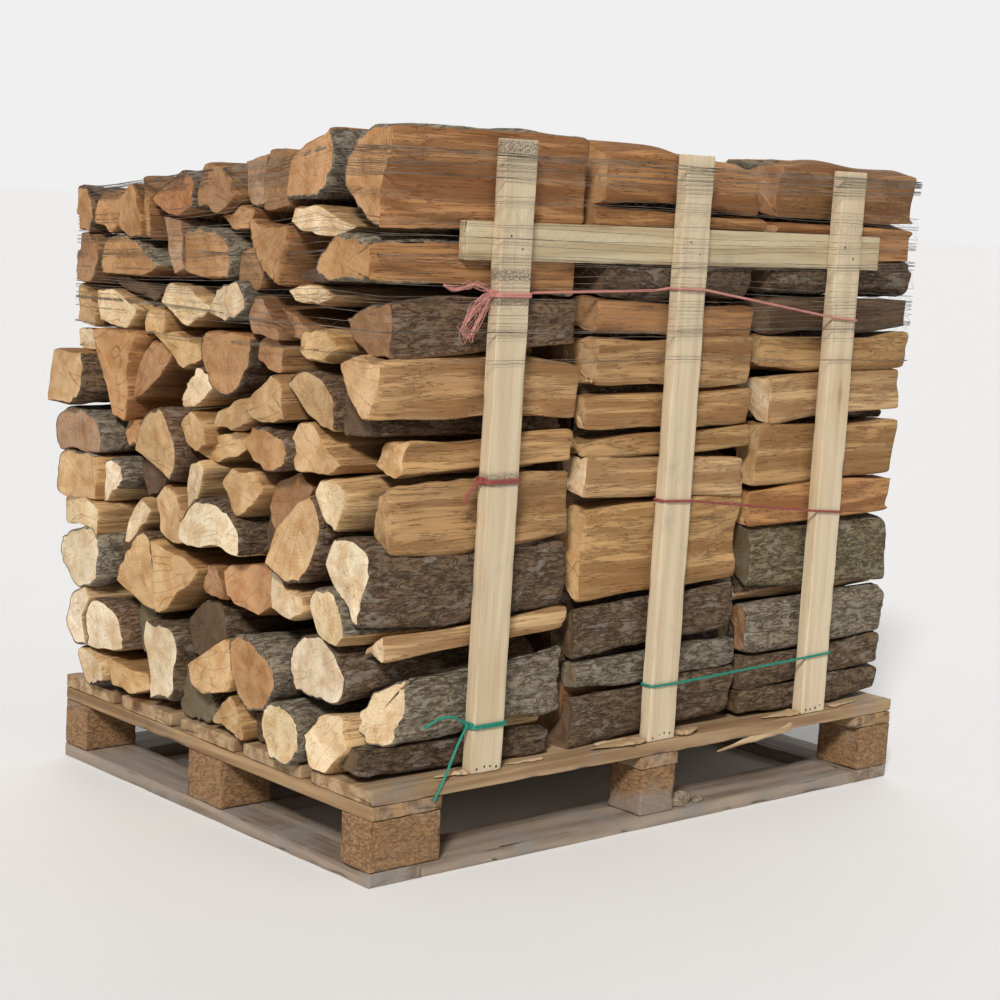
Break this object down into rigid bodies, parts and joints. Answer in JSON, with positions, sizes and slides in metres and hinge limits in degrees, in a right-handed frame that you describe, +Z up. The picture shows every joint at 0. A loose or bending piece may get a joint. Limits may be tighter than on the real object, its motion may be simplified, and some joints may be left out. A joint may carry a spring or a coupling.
{
  "type": "firewood bundle on a pallet",
  "caption": "Split firewood stacked lengthways on a wooden pallet, held by sawn uprights and battens on the long sides, with twine ties and a net round the upper half.",
  "frame": {"origin": "on the floor under the middle of the pallet", "axes": "+X along the logs and the pallet's length, +Y across the pallet away from the face with the higher uprights, +Z up"},
  "size_m": [1.331, 0.858, 1.1079],
  "materials": {
    "split_log": "rough split and sawn, part in bark",
    "pallet_board": "worn, weathered sawn board",
    "chip_block": "pressed wood chip, matt",
    "sawn_wood": "fresh sawn softwood",
    "green_twine": "twisted plastic twine",
    "red_twine": "twisted plastic twine",
    "pink_twine": "twisted plastic twine",
    "net_strand": "fine knitted strand"
  },
  "bodies": {
    "root": {"batten_front": "sawn_wood", "batten_rear": "sawn_wood", "logs_front_1": "split_log", "logs_front_2": "split_log", "logs_front_3": "split_log", "logs_front_4": "split_log", "logs_front_5": "split_log", "logs_front_6": "split_log", "logs_front_7": "split_log", "logs_middle_1": "split_log", "logs_middle_2": "split_log", "logs_middle_3": "split_log", "logs_middle_4": "split_log", "logs_middle_5": "split_log", "logs_middle_6": "split_log", "logs_middle_7": "split_log", "logs_rear_1": "split_log", "logs_rear_2": "split_log", "logs_rear_3": "split_log", "logs_rear_4": "split_log", "logs_rear_5": "split_log", "logs_rear_6": "split_log", "logs_rear_7": "split_log", "net": "net_strand", "pallet_base_end_1": "pallet_board", "pallet_base_end_2": "pallet_board", "pallet_base_long_1": "pallet_board", "pallet_base_long_2": "pallet_board", "pallet_base_long_3": "pallet_board", "pallet_block_1_1": "chip_block", "pallet_block_1_2": "chip_block", "pallet_block_1_3": "chip_block", "pallet_block_2_1": "chip_block", "pallet_block_2_2": "chip_block", "pallet_block_2_3": "chip_block", "pallet_block_3_1": "chip_block", "pallet_block_3_2": "chip_block", "pallet_block_3_3": "chip_block", "pallet_deck_1": "pallet_board", "pallet_deck_2": "pallet_board", "pallet_deck_3": "pallet_board", "pallet_deck_4": "pallet_board", "pallet_deck_5": "pallet_board", "pallet_stringer_1": "pallet_board", "pallet_stringer_2": "pallet_board", "pallet_stringer_3": "pallet_board", "twine_high_tie": "pink_twine", "twine_low_line": "green_twine", "twine_low_tie": "green_twine", "twine_mid_line": "red_twine", "twine_mid_tie": "red_twine", "twine_rear_high": "pink_twine", "twine_rear_low": "green_twine", "twine_rear_mid": "red_twine", "upright_front_1": "sawn_wood", "upright_front_2": "sawn_wood", "upright_front_3": "sawn_wood", "upright_rear_1": "sawn_wood", "upright_rear_2": "sawn_wood", "upright_rear_3": "sawn_wood"}
  },
  "joints": []
}
